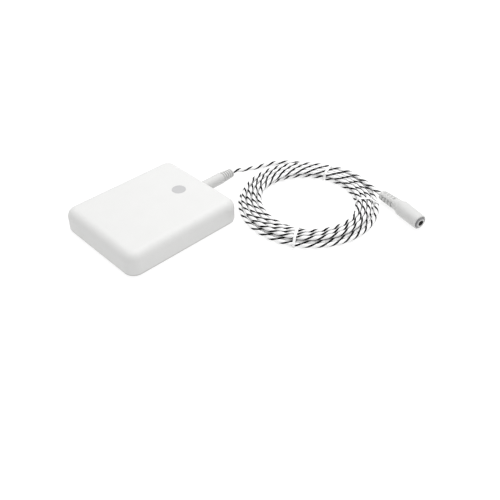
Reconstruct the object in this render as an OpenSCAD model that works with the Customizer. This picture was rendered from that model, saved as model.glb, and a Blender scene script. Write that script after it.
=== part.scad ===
// Water leak sensor: a flat housing with round corners, a flush button on top and a battery door below.
// A sensing lead plugs into one end. It is stored in a tied coil beside the housing and ends in a socket.
// Lengths are in millimetres. +X runs towards the jack, +Z is up, and the feet stand on z = 0.

/* [Housing] */
// Length of the housing, along X
housing_length = 80; // [80:1:110]
// Width of the housing, along Y
housing_width = 66; // [64:1:90]
// Height of the top face above the floor
housing_height = 15; // [15:0.5:20]
// Radius of the upright corners
corner_radius = 7; // [6.6:0.2:9]
// Radius of the edge round the top face
top_edge_radius = 5.8; // [4:0.2:6.2]
// Wall of the upper shell
shell_wall = 1.8; // [1.6:0.1:2]
// Height of the base plate's edge that shows under the shell
base_edge = 1.2; // [1:0.1:1.5]
// How far the base plate's edge stands back from the sides of the shell
base_inset = 0.45; // [0.2:0.05:0.5]
// Height of the base plate's raised middle above its edge
base_rise = 0.8; // [0.6:0.1:1]
// Width of the seal between the shell and the base
seal_width = 0.7; // [0.5:0.1:0.8]
// Height of the seal
seal_height = 0.7; // [0.5:0.1:1]

/* [Clearances] */
// Clearance between pieces that are fastened to each other
fit_gap = 0.1; // [0.06:0.02:0.14]
// Radial clearance between pieces that slide or turn in each other
running_gap = 0.08; // [0.05:0.01:0.1]
// Clearance between other faces that move past each other
moving_gap = 0.3; // [0.2:0.05:0.4]

/* [Feet and screws] */
// Diameter of a rubber foot
foot_d = 6; // [5:0.5:7]
// How far the feet hold the base off the floor
foot_stand = 0.6; // [0.4:0.1:1]
// Depth of the recess that holds a foot
foot_recess = 0.6; // [0.4:0.1:0.8]
// Distance of a foot's centre from the housing's end
foot_from_end = 15; // [14:0.5:18]
// Distance of a foot's centre from the housing's side
foot_from_side = 5.5; // [5.5:0.5:7]
// Distance of a housing screw from the end and from the side
screw_inset = 7; // [6.6:0.2:8]
// Diameter of the housing screws
screw_d = 2; // [1.6:0.1:2.2]
// Diameter of their heads
screw_head_d = 3.8; // [3.4:0.1:4.2]
// Height of their heads
screw_head_h = 1.2; // [0.8:0.1:1.3]
// Length of their shanks
screw_length = 7; // [6:0.5:8]
// Wall of the bosses that the screws go into
boss_wall = 1.6; // [1.2:0.1:1.8]
// Diameter of the circuit board's screws
board_screw_d = 1.6; // [1.4:0.1:2]
// Diameter of their heads
board_screw_head_d = 3; // [2.6:0.1:3.4]
// Height of their heads
board_screw_head_h = 0.9; // [0.7:0.1:1]
// Length of their shanks
board_screw_length = 6; // [5:0.5:6.5]
// Distance of a board screw from the board's ends
board_screw_from_end = 4; // [3.5:0.5:5]
// Distance of a board screw from the board's sides
board_screw_from_side = 4; // [3.5:0.5:5]

/* [Button] */
// Diameter of the button's face
button_d = 8.4; // [7:0.2:10]
// Distance of the button's centre from the jack end of the housing
button_from_end = 19; // [19:0.5:22]
// How far the button goes down
button_travel = 0.5; // [0.3:0.1:0.6]
// Width of the flange that keeps the button in
button_flange = 1.1; // [0.8:0.1:1.5]
// Thickness of that flange
button_flange_h = 1; // [0.8:0.1:1.2]
// Diameter of the button's stem
stem_d = 3.2; // [2.6:0.2:3.4]
// Depth of the collar round the button, under the top face
collar_depth = 2.4; // [1.6:0.2:2.6]
// Wall of that collar
collar_wall = 1; // [0.8:0.1:1.4]
// Width of the switch under the button
switch_width = 6; // [5:0.5:6]
// Height of the switch
switch_height = 3.5; // [3:0.1:3.8]
// Diameter of the switch's plunger
plunger_d = 3.4; // [3:0.1:3.6]
// How far the plunger stands out of the switch
plunger_stand = 1; // [0.8:0.1:1.2]
// Depth of the plunger's bore in the switch
plunger_bore = 2; // [1.6:0.1:2.4]

/* [Battery] */
// Diameter of the coin cell
cell_d = 24.5; // [23:0.5:24.5]
// Height of the coin cell
cell_height = 5; // [3.2:0.2:5.2]
// Distance of the cell's centre from the battery end of the housing
cell_from_end = 23; // [22:0.5:24]
// Wall of the well round the cell
well_wall = 1.8; // [1.4:0.1:2]
// Diameter of the battery cap
cap_d = 30; // [29.5:0.5:31]
// Thickness of the battery cap's disc
cap_thickness = 1.7; // [1.6:0.1:2]
// Width of the step from the cap's disc to its spigot
cap_step = 1.8; // [1.6:0.1:2]
// Height of the base's lip between the cap's disc and its lugs
lip_height = 0.8; // [0.6:0.1:1]
// Number of lugs on the cap
lug_count = 3; // [2:1:4]
// Angle that a lug spans
lug_angle = 22; // [16:1:24]
// How far a lug stands out of the spigot
lug_reach = 1.4; // [1.2:0.1:1.6]
// Height of a lug
lug_height = 1; // [0.8:0.1:1.2]
// Angle that the cap turns through, from locked to free
cap_turn = 30; // [30:1:36]
// Length of the coin slot in the cap
coin_slot_length = 14; // [10:0.5:18]
// Width of the coin slot
coin_slot_width = 1.8; // [1.4:0.1:2.2]
// Depth of the coin slot
coin_slot_depth = 0.9; // [0.6:0.1:1.2]
// Thickness of the cap's sealing ring
cap_seal_d = 0.8; // [0.6:0.1:0.9]
// Thickness of the cell's contact strips
strip_thickness = 0.3; // [0.2:0.05:0.4]
// Width of the contact strips
strip_width = 4; // [3:0.5:5]

/* [Circuit board] */
// Length of the circuit board
board_length = 36; // [36:0.5:37]
// Width of the circuit board
board_width = 44; // [40:1:46]
// Thickness of the circuit board
board_thickness = 1.2; // [1:0.1:1.3]
// Distance of the board's end from the jack's gasket
board_end_gap = 0.3; // [0.2:0.1:0.6]
// Length of the radio module, along X
radio_length = 14; // [10:0.5:15]
// Width of the radio module, along Y
radio_width = 12; // [10:0.5:13]
// Thickness of the radio module's own board
radio_thickness = 0.8; // [0.6:0.1:1]
// Height of the radio module's metal can
shield_height = 2.2; // [1.6:0.1:2.6]
// Wall of that can
shield_wall = 0.3; // [0.2:0.05:0.4]
// Width of the controller chip
chip_width = 7; // [5:0.5:8]
// Height of the controller chip
chip_height = 1; // [0.7:0.1:1.4]

/* [Jack] */
// Diameter of the plug's pin
pin_d = 3.5; // [3.4:0.05:3.6]
// Length of the plug's pin
pin_length = 14; // [13:0.5:14]
// Height of the jack's axis above the floor
jack_axis_z = 7.6; // [7.4:0.1:8]
// Length of the jack's block
jack_length = 12.6; // [12.6:0.1:13]
// Width of the jack's block
jack_width = 6.4; // [6:0.2:8]
// Height of the jack's block
jack_height = 5; // [4.8:0.1:5.2]
// Diameter of the jack's nose in the end wall
nose_d = 6; // [5.6:0.1:6.4]
// Wall of the metal sleeve in the nose
sleeve_wall = 0.6; // [0.4:0.05:0.7]
// Length of that sleeve
sleeve_length = 4; // [3:0.5:5]
// Thickness of the gasket behind the end wall
gasket_thickness = 1; // [0.6:0.1:1.2]
// Depth of the gasket's seat in the end wall
gasket_seat = 0.2; // [0.1:0.05:0.3]
// Width of the gasket's ring
gasket_width = 1.1; // [0.8:0.1:1.6]

/* [Plug] */
// Gap between the plug's grip and the end of the housing
plug_gap = 0.2; // [0.1:0.05:0.4]
// Diameter of the plug's grip
plug_grip_d = 7.2; // [7:0.1:8]
// Length of the plain part of the grip
plug_grip_length = 15.4; // [13:0.1:17]
// Length of the ribbed strain relief behind it
plug_relief_length = 8.4; // [7:0.1:10]
// Diameter of the first rib
plug_relief_big_d = 6.7; // [6.2:0.1:6.9]
// Diameter of the last rib
plug_relief_small_d = 5.7; // [5:0.1:6]
// Number of ribs
plug_rib_count = 5; // [3:1:6]
// Depth of the grooves between the ribs
plug_rib_depth = 0.75; // [0.3:0.05:0.8]
// Share of the ribs' pitch that a groove takes
plug_groove_share = 0.4; // [0.3:0.05:0.6]
// Diameter of the pin's root inside the grip
pin_root_d = 5.2; // [4.6:0.1:5.6]
// Length of the pin's root
pin_root_length = 5; // [4:0.5:7]
// Length of the pin's metal sleeve in front of the grip
pin_sleeve_length = 8.6; // [8:0.1:8.8]
// Length of the ring that parts the sleeve from the tip
insulator_length = 0.8; // [0.6:0.1:1]

/* [Cord] */
// Diameter of the cord
cord_d = 2.5; // [2:0.1:2.5]
// Radius of the coil's first and widest loop, at the middle of the cord
coil_radius = 43.6; // [43:0.2:44]
// Distance from a loop to the next one beside it
loop_pitch = 3.1; // [3:0.05:3.2]
// Distance between the two layers of loops
layer_pitch = 2.95; // [2.95:0.05:3.2]
// Loops of the lower layer, which spirals in
lower_loops = 4.25; // [2.25:1:4.25]
// Loops of the upper layer, which spirals out
upper_loops = 3.25; // [1.25:1:3.25]
// Thickness of the ties round the coil
tie_thickness = 0.4; // [0.3:0.05:0.6]
// Width of the ties
tie_width = 1.6; // [1:0.1:3]

/* [Socket] */
// Diameter of the inline socket's grip at its widest, where the flare ends
socket_d = 9.6; // [9.2:0.1:9.8]
// Diameter of the grip at its mouth
socket_mouth_d = 9; // [8.6:0.1:9.2]
// Length of the grip from the flare to the mouth
socket_length = 16; // [15.5:0.5:20]
// Length of the flare between the strain relief and the grip
socket_flare = 4; // [4:0.5:8]
// Length of the strain relief
socket_relief_length = 14; // [13.5:0.5:16]
// Diameter of the strain relief at the cord
socket_relief_small_d = 6.2; // [5.8:0.1:6.4]
// Diameter of the strain relief at the flare
socket_relief_big_d = 7.4; // [7:0.1:7.8]
// Slots along each side of the strain relief
relief_slots = 4; // [2:1:4]
// Distance from the strain relief's end to the middle of its first slot
relief_slot_first = 2.9; // [2:0.1:3.2]
// Distance from a slot to the next one
relief_slot_pitch = 2.6; // [2.2:0.1:2.8]
// Width of a slot
relief_slot_width = 1.1; // [0.6:0.1:1.3]
// Length of a slot across the relief
relief_slot_length = 2.8; // [2.4:0.1:3]
// Thickness of the core that the slots leave
relief_core_d = 3.2; // [3.1:0.1:3.6]
// Diameter of the dark insert in the socket
insert_d = 6.5; // [6.4:0.1:7]
// Length of the insert
insert_length = 16; // [15:0.5:16.5]
// How far the insert stands out of the grip
insert_proud = 0.8; // [0.4:0.1:1.2]
// Wall of the metal bush at the mouth
bush_wall = 0.85; // [0.6:0.05:0.9]
// Length of the bush
bush_length = 3; // [2:0.5:5]
// Depth of the socket's bore
socket_bore_depth = 14; // [13:0.5:14]

/* [Hidden] */
$fn = 48;
// How far a cutting shape runs past the face that it cuts
over = 0.5;
// Heights of the housing's levels
base_bottom = foot_stand;
rim_z = base_bottom + base_edge;
base_top = rim_z + base_rise;
ceiling_z = housing_height - shell_wall;
// Bosses and collars go this far into the top wall
root_z = ceiling_z + shell_wall / 2;
// Faces of the housing
end_x = housing_length / 2;
side_y = housing_width / 2;
inner_end_x = end_x - shell_wall;
// The jack and the plug's pin
jack_front_x = inner_end_x + gasket_seat - gasket_thickness;
jack_back_x = jack_front_x - jack_length;
nose_end_x = end_x - fit_gap;
plug_x = end_x + plug_gap;
pin_end_x = plug_x - pin_length;
jack_bore_d = pin_d + 2 * running_gap;
gasket_bore_d = nose_d + 2 * fit_gap;
gasket_d = gasket_bore_d + 2 * gasket_width;
tip_spring_x = pin_end_x + 1;
// Places of the circuit board and of what stands on it
board_top = jack_axis_z - jack_height / 2;
board_bottom = board_top - board_thickness;
board_far_x = jack_front_x - board_end_gap;
board_near_x = board_far_x - board_length;
board_screw_xs = [board_near_x + board_screw_from_end, board_far_x - board_screw_from_end];
board_screw_y = board_width / 2 - board_screw_from_side;
// The button and its switch
button_x = end_x - button_from_end;
flange_top = ceiling_z - fit_gap;
switch_top = board_top + switch_height;
plunger_top = switch_top + plunger_stand;
// The battery, its well and its cap
cell_x = cell_from_end - end_x;
cap_top = base_bottom + cap_thickness;
opening_d = cap_d + 2 * moving_gap;
spigot_d = cap_d - 2 * cap_step;
neck_d = spigot_d + 2 * moving_gap;
lip_bottom = cap_top + fit_gap;
lip_top = lip_bottom + lip_height;
lug_bottom = lip_top + fit_gap;
lug_top = lug_bottom + lug_height;
lug_d = spigot_d + 2 * lug_reach;
track_d = lug_d + 2 * moving_gap;
track_top = lug_top + fit_gap;
cell_bottom = lug_top + moving_gap;
cell_top = cell_bottom + cell_height;
cell_bore_d = cell_d + 2 * fit_gap;
well_d = cell_bore_d + 2 * well_wall;
well_foot_d = max(track_d, opening_d) + 2 * well_wall;
well_rim = cell_top + fit_gap;
well_foot_top = cell_bottom + lip_height;
// Where the contact strips come down on the circuit board
contact_from_edge = 2;
contact_tail_x = max(board_near_x, cell_x + well_foot_d / 2 + moving_gap) + contact_from_edge;
// The ring in the cap's edge
cap_seal_ring_d = opening_d - 2 * running_gap - cap_seal_d;
cap_seal_z = (base_bottom + cap_top) / 2;
// Spare angle at each end of a lug's track and in its entry
track_spare = 3;
entry_spare = 2;
// The lead starts at the end of the plug's strain relief
cord_exit = [plug_x + plug_grip_length + plug_relief_length, 0, jack_axis_z];
// The coil's centre from there, and the angle where its first and last loops meet the leads
coil_centre = cord_exit + [16.4, -51.4, -jack_axis_z];
coil_angle = 25;
rings_per_loop = 24;
climb_loops = 0.5;
// The inner loops lie a little to one side: its angle, and the share of their distance from the widest loop
coil_drift_angle = -40;
coil_drift = 0.05;
coil_floor = tie_thickness + fit_gap;
coil_low_z = coil_floor + cord_d / 2;
coil_turn_radius = coil_radius - loop_pitch * lower_loops;
coil_loops = lower_loops + climb_loops + upper_loops;
// The three ties' angles round the coil
ties = [20, -46, -148];
tie_top = coil_low_z + layer_pitch + cord_d / 2 + fit_gap;
tie_corner = 1;
// The inline socket lies on the floor: where its strain relief starts, and the ways that relief and
// grip point. The soft relief bends a little aside with the cord
socket_start = [cord_exit.x + 53.5, cord_exit.y - 80.8, socket_d / 2];
relief_heading = -98.4;
socket_heading = -104.4;
socket_end = socket_relief_length + socket_flare + socket_length;
insert_end = socket_end + insert_proud;
bush_proud = 0.1;
bush_end = insert_end + bush_proud;
// The controller's middle and the radio's corner: distance from the board's inner end and from its side
chip_place = [13, 9];
radio_place = [8, 2];
led_from_switch = 2;
// Small components on the circuit board: place from its inner end, size
small_parts = [
    [[27, -19], [3.2, 1.6, 1.1]],
    [[27, -15], [3.2, 1.6, 1.1]],
    [[27, -11], [2, 1.2, 0.8]],
    [[19, 9], [2, 1.2, 0.8]],
    [[19, 12], [2, 1.2, 0.8]],
    [[19, 15], [2, 1.2, 0.8]],
    [[25, 12], [3.5, 6, 1.6]],
    [[9, 4], [1.6, 0.8, 0.6]]
];

// The leads' routes
function unit(v) = v / norm(v);
function relief_way() = [cos(relief_heading), sin(relief_heading), 0];
function socket_way() = [cos(socket_heading), sin(socket_heading), 0];
function coil_way() = [sin(coil_angle), -cos(coil_angle), 0];

// Radius and height of the coil after so many loops: in, round the half loop that climbs, and out again
function coil_r(loops) =
    loops < lower_loops ? coil_radius - loop_pitch * loops :
    loops < lower_loops + climb_loops ?
        let (t = loops - lower_loops) coil_turn_radius - loop_pitch * (t - t * t / climb_loops) :
    coil_turn_radius + loop_pitch * (loops - lower_loops - climb_loops);
function climbed(loops) = max(0, min(1, (loops - lower_loops) / climb_loops));
function coil_z(loops) = coil_low_z + layer_pitch * (1 - cos(180 * climbed(loops))) / 2;
function coil_shift(loops) = coil_drift * (coil_radius - coil_r(loops));
function coil_point(loops) =
    let (a = coil_angle - 360 * loops, r = coil_r(loops), shift = coil_shift(loops))
    [
        coil_centre.x + r * cos(a) + shift * cos(coil_drift_angle),
        coil_centre.y + r * sin(a) + shift * sin(coil_drift_angle), coil_z(loops)
    ];

// The coil's loops, with a straight end of one cord diameter at each lead
coil_loop_route = [for (i = [0:round(coil_loops * rings_per_loop)]) coil_point(i / rings_per_loop)];
coil_first = coil_point(0) - cord_d * coil_way();
coil_last = coil_point(coil_loops) + cord_d * coil_way();
coil_route = concat([coil_first], coil_loop_route, [coil_last]);

// The lead from the plug: straight out, down to the floor, and round onto the coil's widest loop.
// The third number of a point is the share of the drop that is still left there
lead_in_route = concat(
    [cord_exit, cord_exit + [cord_d, 0, 0]],
    [for (p = [
        [8.5, -0.4, 0.75], [13, -0.8, 0.53], [17.5, -1.2, 0.34], [22, -1.65, 0.19], [26.7, -2.25, 0.08],
        [31.2, -3.3, 0.02], [35, -4.8, 0], [38.4, -6.9, 0], [42.5, -11, 0], [46.5, -16, 0], [49.9, -21.8, 0]
    ]) [cord_exit.x + p.x, cord_exit.y + p.y, coil_low_z + p.z * (jack_axis_z - coil_low_z)]],
    [coil_first - cord_d * coil_way(), coil_first]
);

// The lead to the socket: out over the widest loop, and straight into the strain relief.
// The third number of a point is the share of the way back to the coil's height
lead_out_route = concat(
    [coil_last, coil_last + cord_d * coil_way()],
    [for (p = [
        [56.9, -43.1, 1], [58.5, -49.4, 1], [58.7, -55.9, 1], [57.7, -62.3, 1],
        [56.2, -68.5, 0.5], [54.7, -74.2, 0]
    ]) [cord_exit.x + p.x, cord_exit.y + p.y, socket_start.z + p.z * (coil_last.z - socket_start.z)]],
    [socket_start - cord_d * relief_way(), socket_start]
);

// Least distance from the coil's points to legs of it at least half a loop on, less the cord's diameter
function to_leg(p, a, b) =
    let (t = max(0, min(1, (p - a) * (b - a) / ((b - a) * (b - a)))))
    norm(p - a - t * (b - a));
function coil_gap(route) =
    let (last = len(route) - 1, apart = rings_per_loop / 2)
    min([
        for (i = [0:last - apart - 1])
            for (j = [i + apart:last - 1])
                to_leg(route[i], route[j], route[j + 1])
    ]) - cord_d;

// Way of a route at one of its points: along the end leg at an end, and between the two legs elsewhere
function route_way(route, i) =
    let (last = len(route) - 1)
    i == 0 ? unit(route[1] - route[0]) :
    i == last ? unit(route[last] - route[last - 1]) :
    unit(unit(route[i + 1] - route[i]) + unit(route[i] - route[i - 1]));
function route_ring(route, i, sides) =
    let (way = route_way(route, i), side = unit(cross(way, [0, 0, 1])), up = cross(side, way))
    [for (k = [0:sides - 1])
        let (a = 360 * (k + 0.5) / sides)
        route[i] + cord_d / 2 * (cos(a) * side + sin(a) * up)];

// A closed tube of the cord's diameter along a route
module cord(route, sides) {
    last = len(route) - 1;
    points = [for (i = [0:last]) each route_ring(route, i, sides)];
    start_cap = [for (k = [1:sides - 2]) [0, k + 1, k]];
    end_cap = [for (k = [1:sides - 2]) [last * sides, last * sides + k, last * sides + k + 1]];
    walls = [
        for (i = [0:last - 1])
            for (k = [0:sides - 1])
                let (a = i * sides + k, b = i * sides + (k + 1) % sides)
                each [[a, b, b + sides], [a, b + sides, a + sides]]
    ];
    polyhedron(points, concat(start_cap, walls, end_cap), convexity = 12);
}

// A solid that follows the housing's outline: the children are its half section, drawn from the middle of
// a corner (x = 0) out to the side, and are carried round the corners and along the sides
module round_outline(low, high) {
    half_x = end_x - corner_radius;
    half_y = side_y - corner_radius;
    translate([-half_x, -half_y, low]) cube([2 * half_x, 2 * half_y, high - low]);
    for (turn = [0, 180]) {
        rotate(turn) translate([half_x, 0, 0])
            rotate([90, 0, 0]) linear_extrude(2 * half_y, center = true) children();
        rotate(turn) translate([0, half_y, 0])
            rotate([90, 0, 90]) linear_extrude(2 * half_x, center = true) children();
        rotate(turn) translate([half_x, half_y, 0]) rotate_extrude(angle = 90) children();
        rotate(turn) translate([-half_x, half_y, 0]) rotate(90) rotate_extrude(angle = 90) children();
    }
}

// A flat slab that follows the housing's outline, set in from its sides
module outline_slab(inset, low, high) {
    round_outline(low, high)
        translate([0, low]) square([corner_radius - inset, high - low]);
}

// The housing's outline with its top edge rounded, set in all over
module outline_cover(inset, low) {
    radius = corner_radius - inset;
    edge = top_edge_radius - inset;
    high = housing_height - inset;
    round_outline(low, high) {
        translate([0, low]) square([radius, high - edge - low]);
        translate([0, high - edge]) square([radius - edge, edge]);
        translate([radius - edge, high - edge]) intersection() {
            circle(edge);
            square(edge);
        }
    }
}

// Pieces at the four corners of a rectangle
module at_corners(x, y) {
    for (sx = [-1, 1], sy = [-1, 1]) translate([sx * x, sy * y, 0]) children();
}
module at_housing_screws() {
    at_corners(end_x - screw_inset, side_y - screw_inset) children();
}
module at_feet() {
    at_corners(end_x - foot_from_end, side_y - foot_from_side) children();
}
module at_board_screws() {
    for (x = board_screw_xs, sy = [-1, 1]) translate([x, sy * board_screw_y, 0]) children();
}

// Upright and lying round shapes
module post(d, low, high) {
    translate([0, 0, low]) cylinder(d = d, h = high - low);
}
module pipe(outer_d, inner_d, low, high) {
    difference() {
        post(outer_d, low, high);
        post(inner_d, low - over, high + over);
    }
}
module along_jack(x) {
    translate([x, 0, jack_axis_z]) rotate([0, 90, 0]) children();
}
module along_relief() {
    translate(socket_start) rotate([0, 0, relief_heading]) rotate([0, 90, 0]) children();
}
// The grip's line meets the relief's where the flare starts
module along_socket() {
    translate(socket_start + socket_relief_length * (relief_way() - socket_way()))
        rotate([0, 0, socket_heading]) rotate([0, 90, 0]) children();
}
// Part of a flat ring, centred on an angle
module ring_part(outer_d, inner_d, low, high, angle, middle) {
    rotate(middle - angle / 2) rotate_extrude(angle = angle)
        translate([inner_d / 2, low]) square([(outer_d - inner_d) / 2, high - low]);
}
module at_cell() {
    translate([cell_x, 0, 0]) children();
}
// A block on the circuit board, placed by its middle
module board_block(x, y, size, low) {
    translate([x - size.x / 2, y - size.y / 2, low]) cube(size);
}
// A pan-head screw with its point up and a cross in its head
module screw(d, head_d, head_h, length, head_bottom) {
    cross_width = d / 4;
    difference() {
        union() {
            post(head_d, head_bottom, head_bottom + head_h);
            post(d, head_bottom + head_h, head_bottom + head_h + length);
        }
        for (turn = [0, 90])
            rotate(turn) translate([-d / 2, -cross_width / 2, head_bottom - over])
                cube([d, cross_width, over + head_h / 2]);
    }
}

// Housing
module upper_shell() {
    groove_inset = (shell_wall - seal_width) / 2 - fit_gap / 2;
    groove_width = seal_width + fit_gap;
    collar_bore_d = button_d + 2 * (button_flange + moving_gap);
    screw_end = base_bottom + fit_gap + screw_head_h + screw_length;
    color("#f3f3f1") difference() {
        union() {
            difference() {
                outline_cover(0, rim_z);
                outline_cover(shell_wall, rim_z - over);
            }
            at_housing_screws() post(screw_d + 2 * boss_wall, base_top, root_z);
            at_board_screws() post(board_screw_d + 2 * boss_wall, board_top, root_z);
            translate([button_x, 0, 0])
                post(collar_bore_d + 2 * collar_wall, ceiling_z - collar_depth, root_z);
        }
        translate([button_x, 0, 0]) {
            post(collar_bore_d, ceiling_z - collar_depth - over, ceiling_z);
            post(button_d + 2 * running_gap, ceiling_z - over, housing_height + over);
        }
        along_jack(inner_end_x - over) cylinder(d = gasket_bore_d, h = shell_wall + 2 * over);
        along_jack(jack_front_x - over) cylinder(d = gasket_d + 2 * fit_gap, h = gasket_thickness + over);
        jack_block(fit_gap);
        at_housing_screws() post(screw_d + fit_gap, base_top - over, screw_end + over);
        at_board_screws()
            post(board_screw_d + fit_gap, board_top - over, board_bottom + board_screw_length + over);
        difference() {
            outline_slab(groove_inset, rim_z - over, rim_z + seal_height + fit_gap);
            outline_slab(groove_inset + groove_width, rim_z - 2 * over, rim_z + seal_height + over);
        }
    }
}

module base() {
    head_top = base_bottom + fit_gap + screw_head_h;
    color("#e4e4e2") difference() {
        union() {
            outline_slab(base_inset, base_bottom, rim_z);
            outline_slab(shell_wall + fit_gap, rim_z, base_top);
            at_cell() {
                post(well_foot_d, base_bottom, well_foot_top);
                post(well_d, base_bottom, well_rim);
            }
        }
        at_cell() {
            post(opening_d, base_bottom - over, lip_bottom);
            post(neck_d, lip_bottom - over, cell_bottom);
            post(cell_bore_d, cell_bottom - over, well_rim + over);
            for (i = [0:lug_count - 1]) rotate(i * 360 / lug_count) {
                ring_part(track_d, neck_d - over, lip_top, track_top,
                    cap_turn + lug_angle + 2 * track_spare, cap_turn / 2);
                ring_part(track_d - fit_gap, neck_d - 2 * over, lip_bottom - over, lip_top + lug_height / 2,
                    lug_angle + 2 * entry_spare, cap_turn);
            }
            translate([-strip_width / 2 - fit_gap, 0, well_foot_top])
                cube([strip_width + 2 * fit_gap, well_d / 2 + over, well_rim - cell_bottom]);
        }
        at_housing_screws() {
            post(screw_head_d + 4 * fit_gap, base_bottom - over, head_top);
            post(screw_d + 4 * fit_gap, base_bottom, base_top + over);
        }
        at_feet() post(foot_d + 2 * fit_gap, base_bottom - over, base_bottom + foot_recess);
    }
}

module housing_seal() {
    seal_inset = (shell_wall - seal_width) / 2;
    color("#3a3a3c") difference() {
        outline_slab(seal_inset, rim_z, rim_z + seal_height);
        outline_slab(seal_inset + seal_width, rim_z - over, rim_z + seal_height + over);
    }
}

module housing_screws() {
    color("#b9bbbf") at_housing_screws()
        screw(screw_d, screw_head_d, screw_head_h, screw_length, base_bottom + fit_gap);
}

module rubber_feet() {
    color("#55565a") at_feet() post(foot_d, 0, base_bottom + foot_recess);
}

// Button
module button_cap() {
    color("#cfd0d2") translate([button_x, 0, 0]) {
        post(button_d, flange_top - button_flange_h, housing_height);
        post(button_d + 2 * button_flange, flange_top - button_flange_h, flange_top);
        post(stem_d, plunger_top, flange_top);
    }
}

module switch_plunger() {
    color("#d8d2c4") translate([button_x, 0, 0])
        post(plunger_d, switch_top - plunger_bore + button_travel + fit_gap, plunger_top);
}

module switch_body() {
    color("#2b2b2e") difference() {
        board_block(button_x, 0, [switch_width, switch_width, switch_height], board_top);
        translate([button_x, 0, 0])
            post(plunger_d + 2 * running_gap, switch_top - plunger_bore, switch_top + over);
    }
}

module status_led() {
    led = [1.6, 0.8, 0.7];
    color("#e8e2b0") board_block(button_x, switch_width / 2 + led_from_switch, led, board_top);
}

// Circuit board
module circuit_board() {
    color("#1d5a3a") difference() {
        translate([board_near_x, -board_width / 2, board_bottom])
            cube([board_length, board_width, board_thickness]);
        at_board_screws() post(board_screw_d + 2 * fit_gap, board_bottom - over, board_top + over);
        at_cell() post(well_foot_d + 2 * moving_gap, board_bottom - over, board_top + over);
    }
}

module board_screws() {
    head_bottom = board_bottom - board_screw_head_h;
    color("#b9bbbf") at_board_screws()
        screw(board_screw_d, board_screw_head_d, board_screw_head_h, board_screw_length, head_bottom);
}

module controller_chip() {
    chip = [chip_width, chip_width, chip_height];
    color("#232326")
        board_block(board_near_x + chip_place.x, board_width / 2 - chip_place.y, chip, board_top);
}

// The radio module stands beside the button's switch
module at_radio() {
    translate([board_near_x + radio_place.x, radio_place.y - board_width / 2, board_top]) children();
}
module radio_board() {
    color("#20242c") at_radio() cube([radio_length, radio_width, radio_thickness]);
}
module radio_shield() {
    step = 1;
    outer = [radio_length - 2 * step, radio_width - 2 * step, shield_height];
    color("#c4c6c8") at_radio() translate([step, step, radio_thickness]) difference() {
        cube(outer);
        translate([shield_wall, shield_wall, -over])
            cube([outer.x - 2 * shield_wall, outer.y - 2 * shield_wall, shield_height - shield_wall + over]);
    }
}

module board_components() {
    color("#b08d57") for (part = small_parts)
        board_block(board_near_x + part[0].x, part[0].y, part[1], board_top);
}

// Jack
module jack_block(room) {
    translate([jack_back_x - room, -jack_width / 2 - room, board_top])
        cube([jack_length + 2 * room, jack_width + 2 * room, jack_height + room]);
}
module jack_housing() {
    color("#232326") difference() {
        union() {
            jack_block(0);
            along_jack(jack_front_x) cylinder(d = nose_d, h = nose_end_x - jack_front_x);
        }
        along_jack(pin_end_x - fit_gap) cylinder(d = jack_bore_d, h = pin_length + over);
        along_jack(nose_end_x - sleeve_length)
            cylinder(d = jack_bore_d + 2 * sleeve_wall + fit_gap / 2, h = sleeve_length + over);
        jack_spring(tip_spring_x, fit_gap);
    }
}
// The tip's spring, a leaf beside the bore with a leg down to the board, and the window that it stands in
module jack_spring(x, room) {
    leaf = [5, 0.3, 2];
    leg_width = 1;
    y = room > 0 ? 0 : jack_bore_d / 2 + fit_gap;
    depth = room > 0 ? jack_width : leaf.y;
    leg_y = jack_bore_d / 2 + (room > 0 ? fit_gap / 2 : fit_gap);
    translate([x - room, y, jack_axis_z - leaf.z / 2 - room])
        cube([leaf.x + 2 * room, depth, leaf.z + 2 * room]);
    translate([x - 2 * room, leg_y, board_top - room])
        cube([leg_width + 4 * room, depth, jack_height / 2 + room]);
}
module jack_tip_spring() {
    color("#c9a24a") jack_spring(tip_spring_x, 0);
}
module jack_sleeve_contact() {
    color("#c8cacc") along_jack(nose_end_x - sleeve_length)
        pipe(jack_bore_d + 2 * sleeve_wall, jack_bore_d, 0, sleeve_length);
}
module jack_gasket() {
    color("#4a4a4d") along_jack(jack_front_x)
        pipe(gasket_d, gasket_bore_d, 0, gasket_thickness);
}

// Battery
module coin_cell() {
    rim = 1;
    color("#c4c6c9") at_cell() {
        post(cell_d, cell_bottom, cell_top - rim);
        post(cell_d - 4 * rim, cell_top - rim, cell_top);
    }
}
// A strip over the cell that rests on the well's rim, with a leg down to the board and a dimple on the cell
module cell_top_contact() {
    dimple_d = 3;
    color("#d0b15a") {
        translate([cell_x - strip_width / 2, -strip_width / 2, well_rim])
            cube([contact_tail_x - cell_x + strip_width / 2, strip_width, strip_thickness]);
        translate([contact_tail_x - strip_thickness, -strip_width / 2, board_top])
            cube([strip_thickness, strip_width, well_rim + strip_thickness - board_top]);
        at_cell() post(dimple_d, cell_top, well_rim + strip_thickness);
    }
}
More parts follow.
